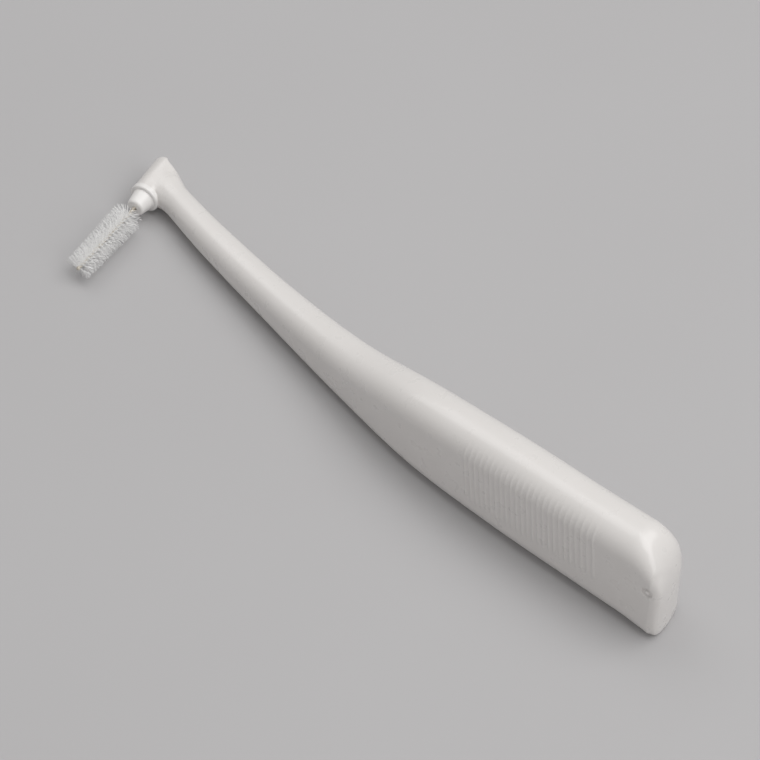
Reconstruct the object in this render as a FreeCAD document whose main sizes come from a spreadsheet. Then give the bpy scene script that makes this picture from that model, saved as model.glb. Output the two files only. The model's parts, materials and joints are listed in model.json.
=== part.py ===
"""An angled interdental brush, lying on the narrow edge of its handle.

X runs from the head to the tail, the brush points towards -Y, and +Z is up. The origin is in the
resting land under the grip. All lengths are in millimetres and all angles in degrees.
"""

import FreeCAD, Part
import math
import operator
import os
import Sketcher

SIZES = {
    # handle: from the head's axis to the tail, with its two end sections
    "handle_length": 116.8,
    "grip_height": 18.8,
    "grip_width": 8.5,
    "neck_height": 4.9,
    "neck_width": 4.6,
    "handle_bow": 6.0,
    "neck_lift": 0.65,
    "rest_land_depth": 0.3,
    # fine ribs on both broad faces
    "rib_pitch": 1.0,
    "rib_width": 0.5,
    "rib_height": 0.16,
    "rib_field_length": 24.5,
    "rib_field_start": 4.4,
    "rib_field_bottom": 4.9,
    "rib_field_height": 11.3,
    "rib_tilt": 4.0,
    # ring-shaped gate mark near the tail
    "gate_radius": 0.85,
    "gate_nub_radius": 0.4,
    "gate_depth": 0.4,
    "gate_to_tail": 2.4,
    "gate_up": 10.8,
    "gate_turn": 5.0,
    # head: the barrel across the neck's end
    "brush_lean": 14.5,
    "head_axis_height": 3.1,
    "barrel_back_radius": 2.9,
    "barrel_front_radius": 2.5,
    "barrel_back": 2.7,
    "barrel_front": 3.6,
    "barrel_round": 1.1,
    # nozzle plug: spigot, flange and cone
    "spigot_radius": 1.7,
    "spigot_length": 4.2,
    "flange_radius": 2.6,
    "flange_thickness": 0.9,
    "flange_round": 0.3,
    "nozzle_base_radius": 2.0,
    "nozzle_tip_radius": 1.5,
    "nozzle_length": 2.5,
    "nozzle_round": 0.45,
    # twisted core wire, from its anchored end in the plug to its tip
    "wire_radius": 0.34,
    "anchor_length": 5.0,
    "bend_gap": 0.6,
    "wire_reach": 15.9,
    # bristle rows along the wire
    "row_count": 17,
    "row_thickness": 0.36,
    "first_row_radius": 2.7,
    "last_row_radius": 2.4,
    "bare_root": 1.9,
    "bare_tip": 0.8,
    # fits and cuts
    "fit_clearance": 0.02,
    "socket_clearance": 0.2,
    "cut_overrun": 2.0,
}

# Handle sections from the head's axis to the tail. Places are shares of the handle's length, and
# heights and widths go from the neck's size at 0 to the grip's at 1. The bow is the sideways offset.
STATION_SHARES = (0, 0.05, 0.137, 0.2915, 0.445, 0.591, 0.7363, 0.8645, 0.939)
HEIGHT_SHARES = (0, 0.01, 0.06, 0.18, 0.42, 0.775, 0.925, 0.96, 0.972)
WIDTH_SHARES = (0, 0.03, 0.15, 0.31, 0.56, 0.89, 1, 1, 1)
BOW_SHARES = (0.8, 0.645, 0.405, 0.123, -0.08, -0.175, 0, 0.258, 0.43)
LIFT_SHARES = (1, 1, 1, 0.8, 0.2, 0, 0, 0, 0)

# The head is at the first station, the origin at the one with no bow, and the tail starts at the last
HEAD = 0
ORIGIN = BOW_SHARES.index(0)
TAIL = len(STATION_SHARES) - 1
TAIL_SHARE = 1 - STATION_SHARES[TAIL]

# The tail's nose rounds off from the last section, most of all at its top and its back. Places are shares
# of the nose's length, widths of the last section's width, and drops and rises of its height.
NOSE_SHARES = (0.45, 0.667, 0.818, 0.919, 0.975, 1)
NOSE_WIDTH_SHARES = (1, 0.951, 0.789, 0.576, 0.37, 0.2)
NOSE_DROP_SHARES = (0.071, 0.177, 0.302, 0.433, 0.549, 0.642)
NOSE_RISE_SHARES = (0, 0, 0, 0.008, 0.044, 0.117)
NOSE_BACK_SHARE = 0.85

# Corner radius over half the section's smaller side, and the most of a wall that a fillet takes
CORNER_SHARE = 0.9
FILLET_SHARE = 0.92

OPERATORS = {"+": operator.add, "-": operator.sub, "*": operator.mul, "/": operator.truediv}

doc = FreeCAD.newDocument("interdental_brush")
sub_parts = []


class Term:
    """A number and the sheet expression that gives it, so that sums of sizes stay tied to the sheet."""

    def __init__(self, value, text):
        self.value = value
        self.text = text

    def __add__(self, other):
        return combine(self, "+", other)

    def __sub__(self, other):
        return combine(self, "-", other)

    def __mul__(self, other):
        return combine(self, "*", other)

    def __truediv__(self, other):
        return combine(self, "/", other)

    def __radd__(self, other):
        return combine(other, "+", self)

    def __rsub__(self, other):
        return combine(other, "-", self)

    def __rmul__(self, other):
        return combine(other, "*", self)

    def __rtruediv__(self, other):
        return combine(other, "/", self)

    def __neg__(self):
        return combine(0, "-", self)


def as_term(number):
    return number if isinstance(number, Term) else Term(number, f"({number})")


def combine(left, sign, right):
    left, right = as_term(left), as_term(right)
    return Term(OPERATORS[sign](left.value, right.value), f"({left.text} {sign} {right.text})")


def least(first, second):
    return Term(min(first.value, second.value), f"min({first.text}; {second.text})")


def whole(term):
    return Term(math.floor(term.value), f"floor({term.text})")


def sine(angle):
    return Term(math.sin(math.radians(angle.value)), f"sin({angle.text})")


def cosine(angle):
    return Term(math.cos(math.radians(angle.value)), f"cos({angle.text})")


def angle_of(slope):
    return Term(math.degrees(math.atan(slope.value)), f"atan({slope.text})")


def make_sheet():
    """Write the driving dimensions to a spreadsheet, with one alias each."""
    sheet = doc.addObject("Spreadsheet::Sheet", "Sizes")
    for row, (alias, value) in enumerate(SIZES.items(), 1):
        sheet.set(f"A{row}", alias)
        sheet.set(f"B{row}", str(value))
        sheet.setAlias(f"B{row}", alias)
    doc.recompute()
    return sheet


sheet = make_sheet()


def size(alias):
    return Term(float(sheet.get(alias)), f"Sizes.{alias}")


def angle(alias):
    """An angle from the sheet with its unit, so that it can be added to a computed one."""
    return Term(size(alias).value, f"({size(alias).text} * 1 deg)")


def between(low, high, share):
    """From one size at share 0 to another at share 1."""
    return size(low) + share * (size(high) - size(low))


def station_x(i):
    return (STATION_SHARES[i] - STATION_SHARES[ORIGIN]) * size("handle_length")


def station_y(i):
    return BOW_SHARES[i] * size("handle_bow")


def station_height(i):
    return between("neck_height", "grip_height", HEIGHT_SHARES[i])


def station_width(i):
    return between("neck_width", "grip_width", WIDTH_SHARES[i])


def station_bottom(i):
    """The neck clears the table by its lift, and the grip starts a land's depth below it."""
    return LIFT_SHARES[i] * size("neck_lift") - (1 - LIFT_SHARES[i]) * size("rest_land_depth")


# The nose runs on straight from the last station, square to its section
TAIL_SLOPE = (station_y(TAIL) - station_y(TAIL - 1)) / (station_x(TAIL) - station_x(TAIL - 1))
TAIL_TURN = angle_of(TAIL_SLOPE)
NOSE_LENGTH = TAIL_SHARE * size("handle_length") / cosine(TAIL_TURN)

# Places along the brush axis, measured from the head's centre
FLANGE_FRONT = size("barrel_front") + size("flange_thickness")
NOZZLE_TIP = FLANGE_FRONT + size("nozzle_length")
SPIGOT_END = size("barrel_front") - size("spigot_length")
ANCHOR_END = NOZZLE_TIP - size("anchor_length")
BEND = NOZZLE_TIP + size("bend_gap")
WIRE_START = BEND + size("wire_radius") + size("fit_clearance")
WIRE_TIP = NOZZLE_TIP + size("wire_reach")
FIRST_ROW = NOZZLE_TIP + size("bare_root")
LAST_ROW = WIRE_TIP - size("bare_tip") - size("row_thickness")
WIRE_HOLE = size("wire_radius") + size("fit_clearance")


def place_on_brush_axis(obj, distance):
    """Turn an object's Z out along the brush axis, this far from the head's centre."""
    lean = size("brush_lean")
    x = station_x(HEAD) + distance * sine(lean)
    y = station_y(HEAD) - distance * cosine(lean)
    base = f"vector({x.text}; {y.text}; {size('head_axis_height').text})"
    obj.setExpression("Placement", f"placement({base}; rotationz({lean.text}) * rotationx(90))")


def new_body(name):
    body = doc.addObject("PartDesign::Body", name)
    body.AllowCompound = True
    return body


def new_sketch(body, role, name):
    """A sketch on one of its body's origin planes."""
    sketch = body.newObject("Sketcher::SketchObject", name)
    origin_plane = next(f for f in body.Origin.OriginFeatures if f.Role == role)
    sketch.AttachmentSupport = (origin_plane, [""])
    sketch.MapMode = "FlatFace"
    return sketch


def bind(sketch, name, term, *constraint):
    """Add a dimension to a sketch and tie it to the sheet."""
    index = sketch.addConstraint(Sketcher.Constraint(*constraint, term.value))
    sketch.renameConstraint(index, name)
    sketch.setExpression(f"Constraints.{name}", term.text)


def rounded_rectangle(sketch, width, height):
    """A rectangle about the sketch's origin with large round corners."""
    radius = CORNER_SHARE / 2 * least(width, height)
    u = width.value / 2 - radius.value
    v = height.value / 2 - radius.value
    normal = FreeCAD.Vector(0, 0, 1)
    arcs = []
    for quarter, (x, y) in enumerate(((u, v), (-u, v), (-u, -v), (u, -v))):
        circle = Part.Circle(FreeCAD.Vector(x, y, 0), normal, radius.value)
        start = quarter * math.pi / 2
        arcs.append(sketch.addGeometry(Part.ArcOfCircle(circle, start, start + math.pi / 2)))
    sides = []
    for quarter, arc in enumerate(arcs):
        following = arcs[(quarter + 1) % 4]
        line = Part.LineSegment(sketch.getPoint(arc, 2), sketch.getPoint(following, 1))
        side = sketch.addGeometry(line)
        sketch.addConstraint(Sketcher.Constraint("Tangent", arc, 2, side, 1))
        sketch.addConstraint(Sketcher.Constraint("Tangent", side, 2, following, 1))
        sketch.addConstraint(Sketcher.Constraint("Vertical" if quarter % 2 else "Horizontal", side))
        sides.append(side)
    for arc in arcs[1:]:
        sketch.addConstraint(Sketcher.Constraint("Equal", arcs[0], arc))
    sketch.addConstraint(Sketcher.Constraint("Symmetric", arcs[0], 3, arcs[2], 3, -1, 1))
    bind(sketch, "radius", radius, "Radius", arcs[0])
    bind(sketch, "width", width, "DistanceX", sides[1], 1, sides[3], 1)
    bind(sketch, "height", height, "DistanceY", sides[2], 1, sides[0], 1)


def outline(sketch, points):
    """A closed outline of straight sides through points, each a pair of sizes or zeros."""
    places = [FreeCAD.Vector(as_term(u).value, as_term(v).value, 0) for u, v in points]
    lines = []
    for i, place in enumerate(places):
        lines.append(sketch.addGeometry(Part.LineSegment(place, places[(i + 1) % len(places)])))
    for i, (u, v) in enumerate(points):
        sketch.addConstraint(Sketcher.Constraint("Coincident", lines[i - 1], 2, lines[i], 1))
        if isinstance(u, Term):
            bind(sketch, f"u{i}", u, "DistanceX", -1, 1, lines[i], 1)
        else:
            sketch.addConstraint(Sketcher.Constraint("PointOnObject", lines[i], 1, -2))
        bind(sketch, f"v{i}", v, "DistanceY", -1, 1, lines[i], 1)


def box_outline(sketch, left, right, low, high):
    outline(sketch, ((left, low), (right, low), (right, high), (left, high)))


def revolved_body(name, points):
    """A body turned about its own Z from an outline of (radius, distance along Z) points."""
    body = new_body(name)
    sketch = new_sketch(body, "XZ_Plane", f"{name}_outline")
    outline(sketch, points)
    turned = body.newObject("PartDesign::Revolution", f"{name}_turned")
    turned.Profile = sketch
    turned.ReferenceAxis = (sketch, ["V_Axis"])
    turned.Angle = 360
    doc.recompute()
    return body


def fillet(body, name, radius, wanted):
    """Round the edges of the body's last feature that the test picks out."""
    base = body.Tip
    edges = [f"Edge{i}" for i, edge in enumerate(base.Shape.Edges, 1) if wanted(edge)]
    feature = body.newObject("PartDesign::Fillet", name)
    feature.Base = (base, edges)
    feature.setExpression("Radius", radius.text)
    doc.recompute()


def rim_at(radius, place):
    """A test for the full circles of one radius at one distance along Z."""

    def wanted(edge):
        curve = edge.Curve
        if not isinstance(curve, Part.Circle):
            return False
        return math.isclose(curve.Radius, radius.value) and math.isclose(curve.Center.z, place.value)

    return wanted


def place_section(sketch, x, y, middle, turn):
    """Move a section to its place along the handle, and turn it about Z."""
    base = f"vector({y.text}; {middle.text}; {x.text})"
    sketch.setExpression("AttachmentOffset", f"placement({base}; rotationy({turn.text}))")


def loft(body, name, sections):
    feature = body.newObject("PartDesign::AdditiveLoft", name)
    feature.Profile = sections[0]
    feature.Sections = sections[1:]
    doc.recompute()


def loft_handle(body, widening):
    """Loft the handle's sections, each wider than the plain handle by the widening."""
    sections = []
    for i in range(len(STATION_SHARES)):
        sketch = new_sketch(body, "YZ_Plane", f"{body.Name}_section_{i}")
        middle = station_bottom(i) + station_height(i) / 2
        turn = TAIL_TURN if i == TAIL else as_term(0)
        place_section(sketch, station_x(i), station_y(i), middle, turn)
        rounded_rectangle(sketch, station_width(i) + widening, station_height(i))
        sections.append(sketch)
    loft(body, f"{body.Name}_loft", sections)
    return sections


def loft_nose(body, last_section):
    """Round the tail off from the handle's last section."""
    sections = [last_section]
    for i, share in enumerate(NOSE_SHARES):
        sketch = new_sketch(body, "YZ_Plane", f"nose_section_{i}")
        along = share * NOSE_LENGTH
        aside = (NOSE_BACK_SHARE - 1 / 2) * (NOSE_WIDTH_SHARES[i] - 1) * station_width(TAIL)
        x = station_x(TAIL) + along * cosine(TAIL_TURN) - aside * sine(TAIL_TURN)
        y = station_y(TAIL) + along * sine(TAIL_TURN) + aside * cosine(TAIL_TURN)
        height = (1 - NOSE_DROP_SHARES[i] - NOSE_RISE_SHARES[i]) * station_height(TAIL)
        bottom = station_bottom(TAIL) + NOSE_RISE_SHARES[i] * station_height(TAIL)
        place_section(sketch, x, y, bottom + height / 2, TAIL_TURN)
        rounded_rectangle(sketch, NOSE_WIDTH_SHARES[i] * station_width(TAIL), height)
        sections.append(sketch)
    loft(body, "nose_loft", sections)


def pocket(body, name, sketch, length):
    """Cut a sketch into the body, and make sure that it took something away."""
    before = body.Shape.Volume
    cut = body.newObject("PartDesign::Pocket", name)
    cut.Profile = sketch
    cut.setExpression("Length", length.text)
    doc.recompute()
    assert body.Shape.Volume < before, f"{name} cut nothing"


def cut_rest_land(body):
    """A flat under the grip's lower edge, in the plane that the brush lies on."""
    sketch = new_sketch(body, "XY_Plane", "rest_land_outline")
    reach = size("handle_length") + size("cut_overrun")
    side = size("handle_bow") + size("grip_width") + size("cut_overrun")
    box_outline(sketch, -reach, reach, -side, side)
    pocket(body, "rest_land", sketch, size("rest_land_depth") + size("cut_overrun"))


def cut_gate_mark(body):
    """A shallow ring round the broken-off gate, on the broad face where it turns in to the tail."""
    past_station = TAIL_SHARE * size("handle_length") - size("gate_to_tail")
    face_x = station_x(TAIL) + past_station
    face_y = station_y(TAIL) + TAIL_SLOPE * past_station - station_width(TAIL) / 2 / cosine(TAIL_TURN)
    turn = TAIL_TURN + angle("gate_turn")
    start_x = face_x + size("cut_overrun") * sine(turn)
    outward = size("cut_overrun") * cosine(turn) - face_y
    sketch = new_sketch(body, "XZ_Plane", "gate_ring")
    place = f"vector({start_x.text}; {size('gate_up').text}; {outward.text})"
    sketch.setExpression("AttachmentOffset", f"placement({place}; rotationy({turn.text}))")
    for name in ("gate_radius", "gate_nub_radius"):
        circle = Part.Circle(FreeCAD.Vector(), FreeCAD.Vector(0, 0, 1), size(name).value)
        ring = sketch.addGeometry(circle)
        sketch.addConstraint(Sketcher.Constraint("Coincident", ring, 3, -1, 1))
        bind(sketch, name, size(name), "Radius", ring)
    pocket(body, "gate_mark", sketch, size("gate_depth") + size("cut_overrun"))


def make_shaft():
    """The lofted grip and neck, with a rounded tail, the resting land and the gate mark."""
    body = new_body("handle_shaft")
    sections = loft_handle(body, 0)
    loft_nose(body, sections[TAIL])
    cut_rest_land(body)
    cut_gate_mark(body)
    return body


def make_rib_slabs():
    """Thin slabs across the grip, one for each rib, in a row that rises towards the tail."""
    body = new_body("rib_slabs")
    sketch = new_sketch(body, "XY_Plane", "rib_slab_outline")
    base = f"vector(0; 0; {size('rib_field_bottom').text})"
    tilt = f"rotationy({(-size('rib_tilt')).text})"
    sketch.setExpression("AttachmentOffset", f"placement({base}; {tilt})")
    start = -size("rib_field_start")
    side = size("handle_bow") + size("grip_width")
    box_outline(sketch, start, start + size("rib_width"), -side, side)
    slab = body.newObject("PartDesign::Pad", "rib_slab")
    slab.Profile = sketch
    slab.setExpression("Length", size("rib_field_height").text)
    doc.recompute()
    row = body.newObject("PartDesign::LinearPattern", "rib_row")
    row.Originals = [slab]
    row.Direction = (sketch, ["H_Axis"])
    steps = whole(size("rib_field_length") / size("rib_pitch"))
    row.setExpression("Length", (steps * size("rib_pitch")).text)
    row.setExpression("Occurrences", (steps + 1).text)
    body.Tip = row
    doc.recompute()
    return body


def make_ribs():
    """Where the slabs meet a shaft that is wider by a rib's height on each face."""
    skin = new_body("rib_skin")
    loft_handle(skin, 2 * size("rib_height"))
    ribs = doc.addObject("Part::Common", "ribs")
    ribs.Base = skin
    ribs.Tool = make_rib_slabs()
    return ribs


def make_barrel():
    """The short barrel across the end of the neck, wider and rounded at its closed back."""
    back_radius = size("barrel_back_radius")
    front_radius = size("barrel_front_radius")
    back = -size("barrel_back")
    front = size("barrel_front")
    profile = ((0, back), (back_radius, back), (front_radius, front), (0, front))
    body = revolved_body("head_barrel", profile)
    rounding = least(size("barrel_round"), FILLET_SHARE * back_radius)
    fillet(body, "barrel_back_fillet", rounding, rim_at(back_radius, back))
    place_on_brush_axis(body, 0)
    return body


def make_handle():
    """One moulding: shaft, ribs and barrel, with the plug's socket."""
    solid = doc.addObject("Part::MultiFuse", "handle_solid")
    solid.Shapes = [make_shaft(), make_ribs(), make_barrel()]
    depth = size("spigot_length") + size("socket_clearance")
    socket = doc.addObject("Part::Cylinder", "plug_socket")
    socket.setExpression("Radius", (size("spigot_radius") + size("fit_clearance")).text)
    socket.setExpression("Height", (depth + size("cut_overrun")).text)
    place_on_brush_axis(socket, size("barrel_front") - depth)
    handle = doc.addObject("Part::Cut", "handle")
    handle.Base = solid
    handle.Tool = socket
    sub_parts.append(handle)


def make_plug():
    """The plug that carries the brush: spigot, flange and nozzle, with a blind hole for the wire."""
    seat = size("barrel_front")
    hole_end = ANCHOR_END - size("fit_clearance")
    flange = size("flange_radius")
    tip = size("nozzle_tip_radius")
    profile = (
        (0, SPIGOT_END),
        (size("spigot_radius"), SPIGOT_END),
        (size("spigot_radius"), seat),
        (flange, seat),
        (flange, FLANGE_FRONT),
        (size("nozzle_base_radius"), FLANGE_FRONT),
        (tip, NOZZLE_TIP),
        (WIRE_HOLE, NOZZLE_TIP),
        (WIRE_HOLE, hole_end),
        (0, hole_end),
    )
    body = revolved_body("nozzle_plug", profile)
    step = least(size("flange_thickness"), flange - size("nozzle_base_radius"))
    rounding = least(size("flange_round"), FILLET_SHARE * step)
    fillet(body, "flange_fillet", rounding, rim_at(flange, FLANGE_FRONT))
    rounding = least(size("nozzle_round"), FILLET_SHARE * (tip - WIRE_HOLE))
    fillet(body, "nozzle_fillet", rounding, rim_at(tip, NOZZLE_TIP))
    place_on_brush_axis(body, 0)
    sub_parts.append(body)


def make_wire(label, start, end):
    """A stretch of wire along the brush axis, flat at its start and round about its end."""
    rod = doc.addObject("Part::Cylinder", f"{label}_rod")
    rod.setExpression("Radius", size("wire_radius").text)
    rod.setExpression("Height", (end - start).text)
    ball = doc.addObject("Part::Sphere", f"{label}_ball")
    ball.setExpression("Radius", size("wire_radius").text)
    ball.setExpression("Placement.Base.z", (end - start).text)
    wire = doc.addObject("Part::Fuse", label)
    wire.Base = rod
    wire.Tool = ball
    place_on_brush_axis(wire, start)
    sub_parts.append(wire)


def make_bristle_row(i):
    """One half turn of bristles: a thin disc round the wire, smaller towards the tip."""
    share = i / (size("row_count") - 1)
    label = f"bristle_row_{i + 1:02d}"
    disc = doc.addObject("Part::Cylinder", f"{label}_disc")
    disc.setExpression("Radius", between("first_row_radius", "last_row_radius", share).text)
    hole = doc.addObject("Part::Cylinder", f"{label}_hole")
    hole.setExpression("Radius", WIRE_HOLE.text)
    for cylinder in (disc, hole):
        cylinder.setExpression("Height", size("row_thickness").text)
    row = doc.addObject("Part::Cut", label)
    row.Base = disc
    row.Tool = hole
    place_on_brush_axis(row, FIRST_ROW + share * (LAST_ROW - FIRST_ROW))
    sub_parts.append(row)


def check_document():
    """Stop if any object failed, or if a sub-part has no good solid."""
    for obj in doc.Objects:
        assert not {"Invalid", "Error"} & set(obj.State), f"{obj.Label}: {obj.State}"
    for obj in sub_parts:
        shape = obj.Shape
        assert not shape.isNull() and shape.isValid() and shape.Solids, obj.Label


def export():
    """Write each sub-part to its own file, named by its label."""
    os.makedirs("parts", exist_ok=True)
    for obj in sub_parts:
        obj.Shape.exportStep(os.path.join("parts", f"{obj.Label}.step"))
        box = obj.Shape.BoundBox
        print(
            f"{obj.Label}: {len(obj.Shape.Solids)} solid, {obj.Shape.Volume:.2f} mm3, "
            f"x {box.XMin:.2f} to {box.XMax:.2f}, y {box.YMin:.2f} to {box.YMax:.2f}, "
            f"z {box.ZMin:.2f} to {box.ZMax:.2f}"
        )


make_handle()
make_plug()
make_wire("wire_anchor", ANCHOR_END, BEND)
make_wire("core_wire", WIRE_START, WIRE_TIP - size("wire_radius"))
for row_index in range(int(size("row_count").value)):
    make_bristle_row(row_index)
doc.recompute()
check_document()
export()
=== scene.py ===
"""The interdental brush: one bowed moulding, a plug, a twisted wire and its bristles, on a plain floor.

Meshes are in metres. The moulding's tables are in millimetres, and MM turns millimetres into metres.
X runs from the head to the tail, the brush points towards -Y, and +Z is up.
"""

import json
import math
import random

import bmesh
import bpy
from mathutils import Matrix, Vector
from mathutils.kdtree import KDTree


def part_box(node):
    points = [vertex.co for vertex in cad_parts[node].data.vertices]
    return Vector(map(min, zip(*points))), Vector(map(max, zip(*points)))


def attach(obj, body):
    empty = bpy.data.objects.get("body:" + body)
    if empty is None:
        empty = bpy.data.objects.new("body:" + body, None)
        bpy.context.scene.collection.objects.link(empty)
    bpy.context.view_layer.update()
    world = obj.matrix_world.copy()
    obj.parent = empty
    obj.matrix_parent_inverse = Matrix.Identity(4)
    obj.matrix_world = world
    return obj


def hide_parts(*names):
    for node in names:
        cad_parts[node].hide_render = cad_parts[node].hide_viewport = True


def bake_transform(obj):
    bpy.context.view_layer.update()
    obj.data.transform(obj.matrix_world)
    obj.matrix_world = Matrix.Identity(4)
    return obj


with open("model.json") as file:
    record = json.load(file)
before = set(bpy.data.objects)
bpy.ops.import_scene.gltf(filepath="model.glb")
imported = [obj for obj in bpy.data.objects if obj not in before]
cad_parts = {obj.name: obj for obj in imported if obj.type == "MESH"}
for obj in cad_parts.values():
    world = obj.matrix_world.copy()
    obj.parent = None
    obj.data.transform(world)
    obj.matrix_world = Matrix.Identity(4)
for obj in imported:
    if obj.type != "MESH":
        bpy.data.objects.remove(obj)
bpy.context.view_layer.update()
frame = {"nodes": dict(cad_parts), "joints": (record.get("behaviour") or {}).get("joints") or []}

MM = 0.001

# The moulding's sections from the head to the tail, in millimetres:
# place along X, sideways bow, bottom, height and width.
# What lies below 0 is pressed flat at the floor, and that is the land on which the grip rests
SECTIONS = (
    (-86.0, 4.8, 0.65, 4.9, 4.6),
    (-80.16, 3.87, 0.65, 5.04, 4.72),
    (-70.0, 2.43, 0.65, 5.73, 5.19),
    (-51.95, 0.74, 0.46, 7.4, 5.81),
    (-34.02, -0.48, -0.11, 10.74, 6.78),
    (-16.97, -1.05, -0.3, 15.67, 8.07),
    (0.0, 0.0, -0.3, 17.76, 8.5),
    (14.97, 1.55, -0.3, 18.24, 8.5),
    (23.68, 2.58, -0.3, 18.41, 8.5),
)
SECTION_COLUMNS = tuple(zip(*SECTIONS))

# Corner radius of a section, as a share of half its smaller side, along the moulding and at its nose,
# and the places in millimetres between which the first passes into the second
CORNER_SHARE = 0.9
NOSE_CORNER_SHARE = 0.7
NOSE_CORNER_RUN = (23.5, 29.5)

# Past the last section the bow goes on at this slope, and the rings of points turn square to it
TAIL_SLOPE = 0.118

# The tail's nose, in millimetres: how far each rounding runs back from the end, and how much it takes
TAIL_END = 30.95
BACK_RUN = 3.2
FRONT_RUN = 1.6
TOP_RUN = 7.0
TOP_DROP = 13.5
LOW_RUN = 0.9
LOW_RISE = 3.0

# Share of the width that the back's rounding takes, the front's taking the rest, and share of the top's
# drop that is given back along the front face
BACK_SHARE = 0.85
FRONT_KEEP_SHARE = 0.5

# The last stretch of the tail, in millimetres, and how often its points are smoothed
TAIL_SOFT = 1.2
TAIL_PASSES = 30

# The neck widens where it runs into the barrel: by how much on each side and over what run, in
# millimetres, and the shares of it by which the top rises and the bottom sinks
FLARE = 0.75
FLARE_RUN = 3.6
FLARE_TOP_SHARE = 0.25
FLARE_LOW_SHARE = 0.5

# Rings of points along the moulding: start and end of each span in millimetres and its number of rings,
# then the nose, where they follow a quarter-circle almost to its end
RING_SPANS = ((-86.0, -76.0, 40), (-76.0, -5.5, 84), (-5.5, 21.5, 216), (21.5, 23.85, 8))
NOSE_RINGS = 36
NOSE_TURN = math.radians(87)

# Steps round each ring, and how close two points are to be joined into one
AROUND_STEPS = 96
WELD_REACH = 0.0005 * MM

# Fine upright ribs on both broad faces, in millimetres
RIB_PITCH = 1.0
RIB_HEIGHT = 0.11
RIB_FIELD = (-4.4, 20.4)
RIB_LOW = 4.7
RIB_HIGH = 17.6
RIB_HIGH_BEHIND = 14.6
RIB_LOW_FADE = 0.8
RIB_HIGH_FADE = 2.5
RIB_TILT = math.radians(4.0)

# Gate mark on the front face, in millimetres: a ring pressed in round a nub, both with soft edges
GATE_PLACE = (29.2, 10.9)
GATE_RADIUS = 1.0
GATE_NUB = 0.38
GATE_DEPTH = 0.28
GATE_EDGE_SOFT = 0.2
GATE_NUB_SOFT = 0.1
GATE_REACH = 2 * GATE_RADIUS
GATE_CUTS = 4

# Barrel across the head, along the brush axis from the head's centre
HEAD_CENTRE = Vector((-86.0, 4.8, 3.1)) * MM
BARREL_BACK_RADIUS = 2.9 * MM
BARREL_FRONT_RADIUS = 2.5 * MM
BARREL_BACK = 3.6 * MM
BARREL_FRONT = 3.6 * MM
BARREL_ROUND = 1.1 * MM
BARREL_STEPS = 56
BARREL_SIDE_STEPS = 18
BARREL_ROUND_STEPS = 8
SOCKET_RADIUS = 1.72 * MM
SOCKET_DEPTH = 4.4 * MM
SOCKET_STEPS = 40

# How far the barrel's mitred back stands past the neck's back edge, in millimetres
MITRE_PROUD = 0.25

# The inner corner between neck and barrel: near the head, points close to an edge that bends inwards by
# more than the crease are smoothed, but not those of the barrel's front rim
JUNCTION_REACH = 3 * BARREL_BACK_RADIUS
CREASE = math.radians(-18)
BLEND_REACH = 1.5 * MM
BLEND_PASSES = 30
RIM_KEPT = 0.3 * MM

# Edges that turn by more than this stay crisp in shading
RIM_ANGLE = math.radians(50)

# Twisted wire: two strands, one half turn for each row of bristles, and a ball for the folded tip
STRAND_RADIUS = 0.165 * MM
STRAND_OFFSET = 0.17 * MM
STRAND_SIDES = 10
STEPS_PER_TURN = 18
TIP_REACH = 0.5 * MM
TIP_RADIUS = 2 * STRAND_RADIUS
TIP_SEGMENTS = 16
TIP_RINGS = 10

# Bristles, and how uneven they are: off their place by a share of the row spacing, turned round the wire
# and leaning along it by about this many radians, and at the shortest this share of the full length
FILAMENTS_PER_ROW = 24
FILAMENT_RADIUS = 0.038 * MM
FILAMENT_SIDES = 5
OFF_PLACE_SHARE = 0.02
TURN_SPREAD = 0.03
LEAN_SPREAD = 0.03
SHORTEST_SHARE = 0.93

# Half of the floor's side, in metres
FLOOR_HALF = 1.5

# Lamps: name, place and size in metres, and power in watts
LAMPS = (
    ("soft_key", (0.3, 0.3, 1.0), 0.9, 5.9),
    ("head_fill", (-0.5, 0.1, 0.8), 0.6, 1.45),
    ("tail_fill", (0.7, 0, 0.5), 0.5, 1.2),
)
SKY_COLOUR = (1, 0.99, 0.985, 1)
SKY_STRENGTH = 0.39

# Camera that the photograph was fitted with: distance in metres, lens and sensor in millimetres
CAMERA_TARGET = Vector((-29.75, 1.4, 5.0)) * MM
CAMERA_AZIMUTH = math.radians(47.19)
CAMERA_ELEVATION = math.radians(50)
CAMERA_DISTANCE = 0.52
CAMERA_LENS = 160.5
CAMERA_SENSOR = 36


def piece_centre(name):
    """Middle of the box of a CAD piece."""
    low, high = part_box(name)
    return (low + high) / 2


ROW_NAMES = sorted(name for name in frame["nodes"] if name.startswith("bristle_row_"))
FIRST_ROW = piece_centre(ROW_NAMES[0])
LAST_ROW = piece_centre(ROW_NAMES[-1])
BRUSH_AXIS = (LAST_ROW - FIRST_ROW).normalized()
ROW_SPACING = (LAST_ROW - FIRST_ROW).length / (len(ROW_NAMES) - 1)
HINGE = Vector(frame["joints"][0]["pos_m"])


def along_brush(point):
    """Distance of a point along the brush axis from the head's centre."""
    return (point - HEAD_CENTRE).dot(BRUSH_AXIS)


def across_brush(angle):
    """The direction square to the brush axis at an angle round it."""
    upright = Vector((0, 0, 1))
    return Matrix.Rotation(angle, 3, BRUSH_AXIS) @ upright


def twist_at(distance):
    """Angle of the bristles where the two strands hold them, this far along the brush axis."""
    return math.pi * (distance - along_brush(FIRST_ROW)) / ROW_SPACING


def make_piece(name, bm, material, smooth=True):
    """A finished mesh object from a bmesh, with its place in its mesh."""
    for face in bm.faces:
        face.smooth = smooth
    mesh = bpy.data.meshes.new(name)
    bm.to_mesh(mesh)
    bm.free()
    mesh.materials.append(material)
    piece = bpy.data.objects.new(name, mesh)
    bpy.context.scene.collection.objects.link(piece)
    return piece


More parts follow.
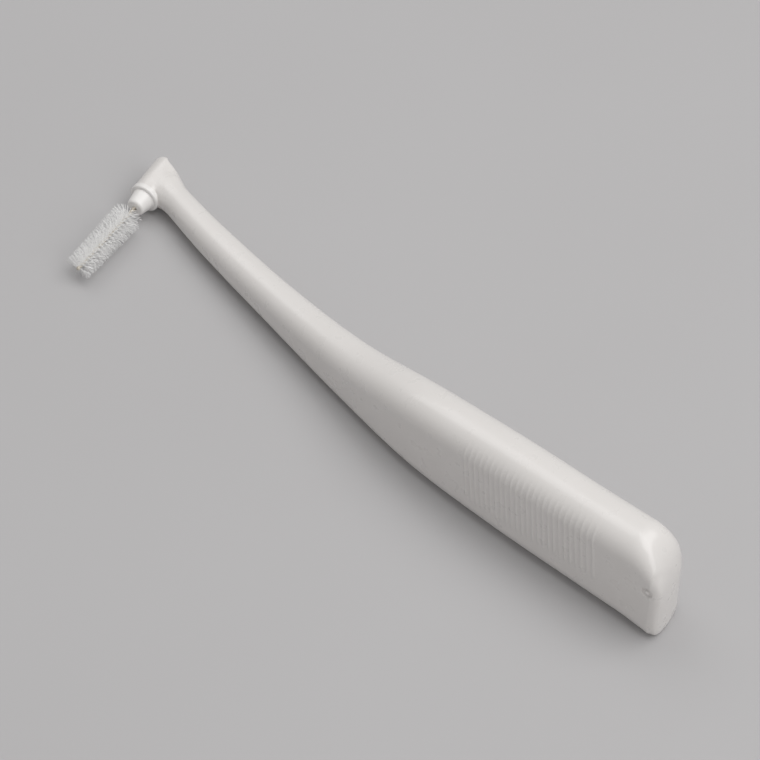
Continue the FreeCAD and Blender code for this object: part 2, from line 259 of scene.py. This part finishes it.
def relax(bm, verts, passes):
    """Draw points towards their neighbours, this many times."""
    for _ in range(passes):
        bmesh.ops.smooth_vert(
            bm, verts=verts, factor=0.5, use_axis_x=True, use_axis_y=True, use_axis_z=True,
        )


def close_ends(bm):
    """Fill every open end of a mesh."""
    bmesh.ops.holes_fill(bm, edges=[edge for edge in bm.edges if edge.is_boundary])


def edges_once(groups):
    """Each edge that is in any of some groups, once and always in the same order."""
    return list(dict.fromkeys(edge for group in groups for edge in group))


# Materials


def new_material(name):
    """A new material, with its node tree and its shader."""
    material = bpy.data.materials.new(name)
    material.use_nodes = True
    tree = material.node_tree
    return material, tree, tree.nodes["Principled BSDF"]


def add_noise(tree, scale, detail):
    """The value of a noise over the object's own coordinates."""
    place = tree.nodes.new("ShaderNodeTexCoord")
    noise = tree.nodes.new("ShaderNodeTexNoise")
    noise.inputs["Scale"].default_value = scale
    noise.inputs["Detail"].default_value = detail
    tree.links.new(place.outputs["Object"], noise.inputs["Vector"])
    return noise.outputs["Fac"]


def mottled_material(name, scale, detail, places, tones):
    """A new material whose colour drifts between two tones, and its shader."""
    material, tree, shader = new_material(name)
    tint = tree.nodes.new("ShaderNodeValToRGB")
    for element, place, tone in zip(tint.color_ramp.elements, places, tones):
        element.position = place
        element.color = (*tone, 1)
    tree.links.new(add_noise(tree, scale, detail), tint.inputs["Fac"])
    tree.links.new(tint.outputs["Color"], shader.inputs["Base Color"])
    return material, shader


def plastic_group():
    """Slight cloudiness, a satin sheen that varies and the fine grain of a moulded surface."""
    group = bpy.data.node_groups.new("moulded_surface", "ShaderNodeTree")
    sockets = (
        ("INPUT", "Colour", "Color"),
        ("INPUT", "Cloud Colour", "Color"),
        ("INPUT", "Roughness", "Float"),
        ("INPUT", "Grain", "Float"),
        ("OUTPUT", "Colour", "Color"),
        ("OUTPUT", "Roughness", "Float"),
        ("OUTPUT", "Normal", "Vector"),
    )
    for side, name, kind in sockets:
        group.interface.new_socket(name, in_out=side, socket_type="NodeSocket" + kind)
    nodes = group.nodes
    links = group.links
    given = nodes.new("NodeGroupInput")
    result = nodes.new("NodeGroupOutput")

    mix = nodes.new("ShaderNodeMix")
    mix.data_type = "RGBA"
    links.new(add_noise(group, scale=130, detail=4), mix.inputs["Factor"])
    links.new(given.outputs["Colour"], mix.inputs["A"])
    links.new(given.outputs["Cloud Colour"], mix.inputs["B"])
    links.new(mix.outputs["Result"], result.inputs["Colour"])

    spread = nodes.new("ShaderNodeMapRange")
    spread.inputs["From Min"].default_value = 0.3
    spread.inputs["From Max"].default_value = 0.7
    spread.inputs["To Min"].default_value = 0.85
    spread.inputs["To Max"].default_value = 1.15
    links.new(add_noise(group, scale=420, detail=3), spread.inputs["Value"])
    vary = nodes.new("ShaderNodeMath")
    vary.operation = "MULTIPLY"
    links.new(given.outputs["Roughness"], vary.inputs[0])
    links.new(spread.outputs["Result"], vary.inputs[1])
    links.new(vary.outputs["Value"], result.inputs["Roughness"])

    bump = nodes.new("ShaderNodeBump")
    bump.inputs["Distance"].default_value = 0.02 * MM
    links.new(given.outputs["Grain"], bump.inputs["Strength"])
    links.new(add_noise(group, scale=700, detail=0), bump.inputs["Height"])
    links.new(bump.outputs["Normal"], result.inputs["Normal"])
    return group


def moulded_plastic(name, group, colour, cloud_colour, roughness, grain):
    """A pale moulded plastic, satin under a thin gloss from the mould."""
    material, tree, shader = new_material(name)
    surface = tree.nodes.new("ShaderNodeGroup")
    surface.node_tree = group
    surface.inputs["Colour"].default_value = (*colour, 1)
    surface.inputs["Cloud Colour"].default_value = (*cloud_colour, 1)
    surface.inputs["Roughness"].default_value = roughness
    surface.inputs["Grain"].default_value = grain
    tree.links.new(surface.outputs["Colour"], shader.inputs["Base Color"])
    tree.links.new(surface.outputs["Roughness"], shader.inputs["Roughness"])
    tree.links.new(surface.outputs["Normal"], shader.inputs["Normal"])
    shader.inputs["IOR"].default_value = 1.49
    shader.inputs["Coat Weight"].default_value = 0.35
    shader.inputs["Coat Roughness"].default_value = 0.14
    return material


def coated_wire():
    """Fine steel wire under a thin cream coating, paler in patches."""
    material, shader = mottled_material(
        "coated_wire", scale=1800, detail=3, places=(0.35, 0.65),
        tones=((0.5, 0.45, 0.37), (0.72, 0.68, 0.6)),
    )
    shader.inputs["Metallic"].default_value = 0.25
    shader.inputs["Roughness"].default_value = 0.34
    return material


def clear_nylon():
    """Milky white nylon filament, cloudier in places."""
    material, shader = mottled_material(
        "clear_nylon", scale=900, detail=2, places=(0.3, 0.7),
        tones=((0.96, 0.955, 0.945), (0.99, 0.987, 0.98)),
    )
    shader.inputs["Roughness"].default_value = 0.3
    shader.inputs["IOR"].default_value = 1.53
    shader.inputs["Sheen Weight"].default_value = 0.9
    shader.inputs["Sheen Roughness"].default_value = 0.5
    return material


# The moulding


def smooth_value(places, values, place):
    """A smooth curve through values at uneven places."""
    last = len(places) - 2
    i = max(0, min(last, sum(known <= place for known in places) - 1))
    slopes = []
    for j in (i, i + 1):
        before = max(j - 1, 0)
        after = min(j + 1, last + 1)
        slopes.append((values[after] - values[before]) / (places[after] - places[before]))
    span = places[i + 1] - places[i]
    t = (place - places[i]) / span
    return (
        values[i] * (2 * t**3 - 3 * t**2 + 1)
        + values[i + 1] * (3 * t**2 - 2 * t**3)
        + span * slopes[0] * (t**3 - 2 * t**2 + t)
        + span * slopes[1] * (t**3 - t**2)
    )


def rounding(place, run):
    """Share that a quarter-round takes at a place, from 0 where it starts to 1 at the tail's end."""
    share = min(max((place - TAIL_END + run) / run, 0), 1)
    return 1 - math.sqrt(1 - share**2)


def section_at(place):
    """Bow, bottom, top and width of the moulding at a place along it, in millimetres."""
    places = SECTION_COLUMNS[0]
    within = min(place, places[-1])
    bow, bottom, height, width = (smooth_value(places, column, within) for column in SECTION_COLUMNS[1:])
    top = bottom + height
    bow += TAIL_SLOPE * (place - within)
    top -= TOP_DROP * rounding(place, TOP_RUN)
    bottom += LOW_RISE * rounding(place, LOW_RUN)
    behind = BACK_SHARE * width * rounding(place, BACK_RUN)
    before = (1 - BACK_SHARE) * width * rounding(place, FRONT_RUN)
    bow += (before - behind) / 2
    width -= before + behind
    to_barrel = max(place - places[0] - BARREL_FRONT_RADIUS / MM, 0)
    if to_barrel < FLARE_RUN:
        flare = FLARE * (1 - to_barrel / FLARE_RUN) ** 2
        width += 2 * flare
        top += FLARE_TOP_SHARE * flare
        bottom -= FLARE_LOW_SHARE * flare
    return bow, bottom, top, width


def round_section(share, width, height, corner_share):
    """A point and its outward direction, at a share of the way round a rounded rectangle."""
    radius = corner_share / 2 * min(width, height)
    flat_y = width - 2 * radius
    flat_z = height - 2 * radius
    arc = math.pi / 2 * radius
    travel = share * (2 * flat_y + 2 * flat_z + 4 * arc)
    centres = ((1, 1), (-1, 1), (-1, -1), (1, -1))
    for quarter, (side, level) in enumerate(centres):
        centre = Vector((side * flat_y / 2, level * flat_z / 2))
        start = quarter * math.pi / 2
        if travel <= arc:
            outward = Vector((math.cos(start + travel / radius), math.sin(start + travel / radius)))
            return centre + radius * outward, outward
        travel -= arc
        flat = flat_z if quarter % 2 else flat_y
        outward = Vector((math.cos(start + math.pi / 2), math.sin(start + math.pi / 2)))
        if travel <= flat or quarter == 3:
            forward = Vector((-outward.y, outward.x))
            return centre + radius * outward + travel * forward, outward
        travel -= flat


def ease(value, low, high):
    """From 0 at low to 1 at high, with soft ends."""
    share = min(max((value - low) / (high - low), 0), 1)
    return share * share * (3 - 2 * share)


def rib_lift(place, height, outward):
    """How far a rib lifts the surface at a place and height on the broad faces, in millimetres."""
    across = place * math.cos(RIB_TILT) + (height - RIB_LOW) * math.sin(RIB_TILT)
    upright = (height - RIB_LOW) * math.cos(RIB_TILT) - place * math.sin(RIB_TILT)
    low, high = RIB_FIELD
    last_rib = math.floor((high - low) / RIB_PITCH)
    if not low - RIB_PITCH / 2 < across < low + RIB_PITCH * (last_rib + 0.5):
        return 0
    ridge = max(math.cos(2 * math.pi * (across - low) / RIB_PITCH), 0)
    reach = (RIB_HIGH_BEHIND if outward.x > 0 else RIB_HIGH) - RIB_LOW
    ends = ease(upright, 0, RIB_LOW_FADE) * (1 - ease(upright, reach - RIB_HIGH_FADE, reach))
    return RIB_HEIGHT * ridge * ends * abs(outward.x)


def ring_places():
    """Places of the moulding's rings of points: close together at the head, the ribs and the nose."""
    places = []
    for start, end, count in RING_SPANS:
        places += [start + (end - start) * i / count for i in range(count)]
    nose_start = RING_SPANS[-1][1]
    for i in range(NOSE_RINGS):
        turn = NOSE_TURN * i / (NOSE_RINGS - 1)
        places.append(nose_start + (TAIL_END - nose_start) * math.sin(turn))
    return places


def make_shaft():
    """The grip and neck: a grid wrapped round the sections, with ribs lifted from its broad faces."""
    places = ring_places()
    columns = len(places) - 1
    half = 0.5
    bm = bmesh.new()
    bmesh.ops.create_grid(bm, x_segments=columns, y_segments=AROUND_STEPS, size=half)
    for vert in bm.verts:
        place = places[round((vert.co.x + half) * columns)]
        share = round((vert.co.y + half) * AROUND_STEPS) / AROUND_STEPS % 1
        bow, bottom, top, width = section_at(place)
        corner_share = CORNER_SHARE - (CORNER_SHARE - NOSE_CORNER_SHARE) * ease(place, *NOSE_CORNER_RUN)
        point, outward = round_section(share, width, top - bottom, corner_share)
        height = (bottom + top) / 2 + point.y
        forward = 0.5 - point.x / width
        kept = FRONT_KEEP_SHARE * TOP_DROP * rounding(place, TOP_RUN)
        height += kept * forward * (height - bottom) / (top - bottom)
        point += rib_lift(place, height, outward) * outward
        turned = ease(place, SECTIONS[-2][0], SECTIONS[-1][0]) * TAIL_SLOPE
        vert.co = Vector((place - turned * point.x, bow + point.x, max(height, 0))) * MM
    bmesh.ops.remove_doubles(bm, verts=bm.verts, dist=WELD_REACH)
    close_ends(bm)
    tail = [vert for vert in bm.verts if vert.co.x > (TAIL_END - TAIL_SOFT) * MM]
    relax(bm, tail, TAIL_PASSES)
    bmesh.ops.recalc_face_normals(bm, faces=bm.faces)
    return bm


def make_turned(profile, steps):
    """A solid turned about the brush axis from (radius, distance) points."""
    bm = bmesh.new()
    verts = []
    for radius, distance in profile:
        place = HEAD_CENTRE + distance * BRUSH_AXIS + radius * across_brush(0)
        verts.append(bm.verts.new(place))
    edges = [bm.edges.new(pair) for pair in zip(verts, verts[1:])]
    bmesh.ops.spin(
        bm, geom=verts + edges, cent=HEAD_CENTRE, axis=BRUSH_AXIS, dvec=(0, 0, 0),
        angle=2 * math.pi, steps=steps, use_merge=True,
    )
    bmesh.ops.remove_doubles(bm, verts=bm.verts, dist=WELD_REACH)
    bmesh.ops.recalc_face_normals(bm, faces=bm.faces)
    return bm


def arc_points(centre_radius, centre_distance, radius, start, end, steps):
    """Profile points along an arc, between two angles in degrees from the outward direction."""
    points = []
    for i in range(steps + 1):
        angle = math.radians(start + (end - start) * i / steps)
        across = centre_radius + radius * math.cos(angle)
        along = centre_distance + radius * math.sin(angle)
        points.append((across, along))
    return points


def make_barrel():
    """The barrel, a little narrower at its front, with its back mitred along the neck's back edge."""
    side_start = BARREL_ROUND - BARREL_BACK
    rim_centre = BARREL_BACK_RADIUS - BARREL_ROUND
    profile = [(0, -BARREL_BACK)]
    profile += arc_points(rim_centre, side_start, BARREL_ROUND, start=-90, end=0, steps=BARREL_ROUND_STEPS)
    for i in range(1, BARREL_SIDE_STEPS + 1):
        share = i / BARREL_SIDE_STEPS
        radius = BARREL_BACK_RADIUS + (BARREL_FRONT_RADIUS - BARREL_BACK_RADIUS) * share
        profile.append((radius, side_start + (BARREL_FRONT - side_start) * share))
    profile.append((0, BARREL_FRONT))
    bm = make_turned(profile, BARREL_STEPS)
    place, bow, _, _, width = SECTIONS[0]
    next_place, next_bow = SECTIONS[1][:2]
    slope = (next_bow - bow) / (next_place - place)
    for vert in bm.verts:
        neck_back = bow + width / 2 + slope * min(vert.co.x / MM - place, 0)
        vert.co.y = min(vert.co.y, (neck_back + MITRE_PROUD) * MM)
    return bm


def make_socket_cutter():
    """What is cut from the barrel for the plug's spigot, with some length to spare in front."""
    bottom = BARREL_FRONT - SOCKET_DEPTH
    past = BARREL_FRONT + SOCKET_RADIUS
    profile = [(0, bottom), (SOCKET_RADIUS, bottom), (SOCKET_RADIUS, past), (0, past)]
    return make_turned(profile, SOCKET_STEPS)


def combine(piece, tool, operation):
    """Join a tool to a piece or cut it away, and keep the result as the piece's mesh."""
    modifier = piece.modifiers.new("combine", "BOOLEAN")
    modifier.operation = operation
    modifier.solver = "EXACT"
    modifier.object = tool
    view = bpy.context.evaluated_depsgraph_get()
    mesh = bpy.data.meshes.new_from_object(piece.evaluated_get(view))
    piece.modifiers.clear()
    piece.data = mesh
    bpy.data.objects.remove(tool)


def soften_junction(piece):
    """Round the inner corner where the neck runs into the barrel."""
    bm = bmesh.new()
    bm.from_mesh(piece.data)
    corner = []
    for edge in bm.edges:
        near_head = (edge.verts[0].co - HEAD_CENTRE).length < JUNCTION_REACH
        if near_head and edge.is_manifold and edge.calc_face_angle_signed(0) < CREASE:
            corner += edge.verts
    tree = KDTree(len(corner))
    for i, vert in enumerate(corner):
        tree.insert(vert.co, i)
    tree.balance()
    front = BARREL_FRONT - RIM_KEPT
    near = [
        vert for vert in bm.verts
        if along_brush(vert.co) < front and tree.find(vert.co)[2] < BLEND_REACH
    ]
    relax(bm, near, BLEND_PASSES)
    for face in bm.faces:
        face.smooth = True
    bm.to_mesh(piece.data)
    bm.free()


def press_gate_mark(bm):
    """A shallow ring round the broken-off gate, pressed into the front face near the tail."""
    place, height = GATE_PLACE
    bow, _, _, width = section_at(place)
    centre = Vector((place, bow - width / 2, height)) * MM
    faces = [face for face in bm.faces if (face.calc_center_median() - centre).length < GATE_REACH * MM]
    edges = edges_once(face.edges for face in faces)
    bmesh.ops.subdivide_edges(bm, edges=edges, cuts=GATE_CUTS, use_grid_fill=True)
    bm.normal_update()
    moves = []
    for vert in bm.verts:
        away = (vert.co - centre).length / MM
        if away < GATE_REACH:
            past_nub = ease(away, GATE_NUB - GATE_NUB_SOFT, GATE_NUB + GATE_NUB_SOFT)
            past_edge = ease(away, GATE_RADIUS - GATE_EDGE_SOFT, GATE_RADIUS)
            ring = past_nub * (1 - past_edge)
            moves.append((vert, -ring * GATE_DEPTH * MM * vert.normal))
    for vert, move in moves:
        vert.co += move


def make_moulding(material):
    """The handle as one mesh: shaft and barrel joined, and the plug's socket cut from the barrel."""
    shaft = make_shaft()
    press_gate_mark(shaft)
    piece = make_piece("handle_moulding", shaft, material)
    combine(piece, make_piece("barrel", make_barrel(), material), "UNION")
    soften_junction(piece)
    combine(piece, make_piece("socket", make_socket_cutter(), material), "DIFFERENCE")
    piece.data.set_sharp_from_angle(angle=RIM_ANGLE)
    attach(piece, "handle")
    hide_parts("handle")


# The wire and its bristles


def twist_strand(bm, side, start, end):
    """One strand of the wire, wound round the brush axis from start to end."""
    angle = twist_at(start) + side * math.pi / 2
    offset = across_brush(angle)
    centre = HEAD_CENTRE + start * BRUSH_AXIS
    lead = 2 * ROW_SPACING / (2 * math.pi * STRAND_OFFSET)
    heading = (BRUSH_AXIS * lead + BRUSH_AXIS.cross(offset)).normalized()
    turn = heading.to_track_quat("Z", "Y").to_matrix().to_4x4()
    place = Matrix.Translation(centre + STRAND_OFFSET * offset) @ turn
    ring = bmesh.ops.create_circle(
        bm, segments=STRAND_SIDES, radius=STRAND_RADIUS, cap_ends=False, matrix=place,
    )
    verts = ring["verts"]
    edges = edges_once(vert.link_edges for vert in verts)
    turns = (end - start) / (2 * ROW_SPACING)
    steps = round(turns * STEPS_PER_TURN)
    bmesh.ops.spin(
        bm, geom=verts + edges, cent=centre, axis=BRUSH_AXIS, dvec=BRUSH_AXIS * (end - start) / steps,
        angle=2 * math.pi * turns, steps=steps, use_merge=False,
    )


def make_wire(material):
    """Two twisted strands from inside the plug to a small ball, which stands for the folded tip."""
    anchor_start = 2 * along_brush(piece_centre("wire_anchor")) - along_brush(HINGE)
    tip = along_brush(LAST_ROW) + TIP_REACH
    bm = bmesh.new()
    for side in (1, -1):
        twist_strand(bm, side, anchor_start, tip)
    close_ends(bm)
    ball = Matrix.Translation(HEAD_CENTRE + tip * BRUSH_AXIS)
    bmesh.ops.create_uvsphere(
        bm, u_segments=TIP_SEGMENTS, v_segments=TIP_RINGS, radius=TIP_RADIUS, matrix=ball,
    )
    bmesh.ops.recalc_face_normals(bm, faces=bm.faces)
    piece = make_piece("twisted_wire", bm, material)
    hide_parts("wire_anchor", "core_wire")
    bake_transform(piece)


def make_bristle_row(index, name, material):
    """The filaments of one half turn of the wire, each held at its middle and a little uneven."""
    chance = random.Random(index + 1)
    low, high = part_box(name)
    radius = (high.z - low.z) / 2
    bm = bmesh.new()
    for i in range(FILAMENTS_PER_ROW):
        share = (i + 0.5) / FILAMENTS_PER_ROW - 0.5
        off_place = chance.uniform(-OFF_PLACE_SHARE, OFF_PLACE_SHARE)
        distance = along_brush(piece_centre(name)) + (share + off_place) * ROW_SPACING
        angle = twist_at(distance) + chance.gauss(0, TURN_SPREAD)
        heading = (across_brush(angle) + chance.gauss(0, LEAN_SPREAD) * BRUSH_AXIS).normalized()
        length = 2 * radius * chance.uniform(SHORTEST_SHARE, 1.0)
        turn = heading.to_track_quat("Z", "Y").to_matrix().to_4x4()
        place = Matrix.Translation(HEAD_CENTRE + distance * BRUSH_AXIS) @ turn
        bmesh.ops.create_cone(
            bm, cap_ends=True, segments=FILAMENT_SIDES, radius1=FILAMENT_RADIUS, radius2=FILAMENT_RADIUS,
            depth=length, matrix=place,
        )
    piece = make_piece(name.replace("bristle_row", "filaments"), bm, material)
    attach(piece, "brush")
    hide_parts(name)


# The scene round the object


def plain_floor():
    """A pale matt sheet with very faint unevenness."""
    material, shader = mottled_material(
        "pale_sheet", scale=14, detail=2, places=(0, 1),
        tones=((0.475, 0.467, 0.47), (0.5, 0.494, 0.498)),
    )
    shader.inputs["Roughness"].default_value = 0.85
    shader.inputs["Specular IOR Level"].default_value = 0.2
    bm = bmesh.new()
    bmesh.ops.create_grid(bm, x_segments=1, y_segments=1, size=FLOOR_HALF)
    floor = make_piece("floor", bm, material, smooth=False)


def add_lamp(name, place, size, power):
    """A square lamp that faces the camera's target."""
    lamp = bpy.data.objects.new(name, bpy.data.lights.new(name, "AREA"))
    lamp.data.size = size
    lamp.data.energy = power
    lamp.location = place
    lamp.rotation_mode = "QUATERNION"
    lamp.rotation_quaternion = (CAMERA_TARGET - place).to_track_quat("-Z", "Y")
    bpy.context.scene.collection.objects.link(lamp)


def light_scene():
    """A large soft lamp high behind the tail, a weaker one to each end and an even grey sky."""
    for name, place, size, power in LAMPS:
        add_lamp(name, Vector(place), size, power)
    world = bpy.data.worlds.new("studio")
    world.use_nodes = True
    sky = world.node_tree.nodes["Background"]
    sky.inputs["Color"].default_value = SKY_COLOUR
    sky.inputs["Strength"].default_value = SKY_STRENGTH
    bpy.context.scene.world = world


def place_camera():
    """The camera, at its distance from the target in the direction of its azimuth and elevation."""
    scene = bpy.context.scene
    level = math.cos(CAMERA_ELEVATION)
    towards = Vector((
        math.sin(CAMERA_AZIMUTH) * level,
        -math.cos(CAMERA_AZIMUTH) * level,
        math.sin(CAMERA_ELEVATION),
    ))
    camera = bpy.data.objects.new("camera", bpy.data.cameras.new("camera"))
    camera.data.lens = CAMERA_LENS
    camera.data.sensor_width = CAMERA_SENSOR
    camera.location = CAMERA_TARGET + CAMERA_DISTANCE * towards
    camera.rotation_mode = "QUATERNION"
    camera.rotation_quaternion = (-towards).to_track_quat("-Z", "Y")
    scene.collection.objects.link(camera)
    scene.camera = camera
    scene.view_settings.view_transform = "Standard"


place_camera()
plain_floor()
light_scene()
surface_group = plastic_group()
off_white = moulded_plastic(
    "off_white_plastic", surface_group, colour=(0.78, 0.755, 0.735), cloud_colour=(0.75, 0.725, 0.7),
    roughness=0.3, grain=0.12,
)
bright_white = moulded_plastic(
    "bright_white_plastic", surface_group, colour=(0.86, 0.845, 0.83), cloud_colour=(0.83, 0.81, 0.79),
    roughness=0.33, grain=0.12,
)
make_moulding(off_white)
frame["nodes"]["nozzle_plug"].material_slots[0].material = bright_white
make_wire(coated_wire())
nylon = clear_nylon()
for row_index, row_name in enumerate(ROW_NAMES):
    make_bristle_row(row_index, row_name, nylon)
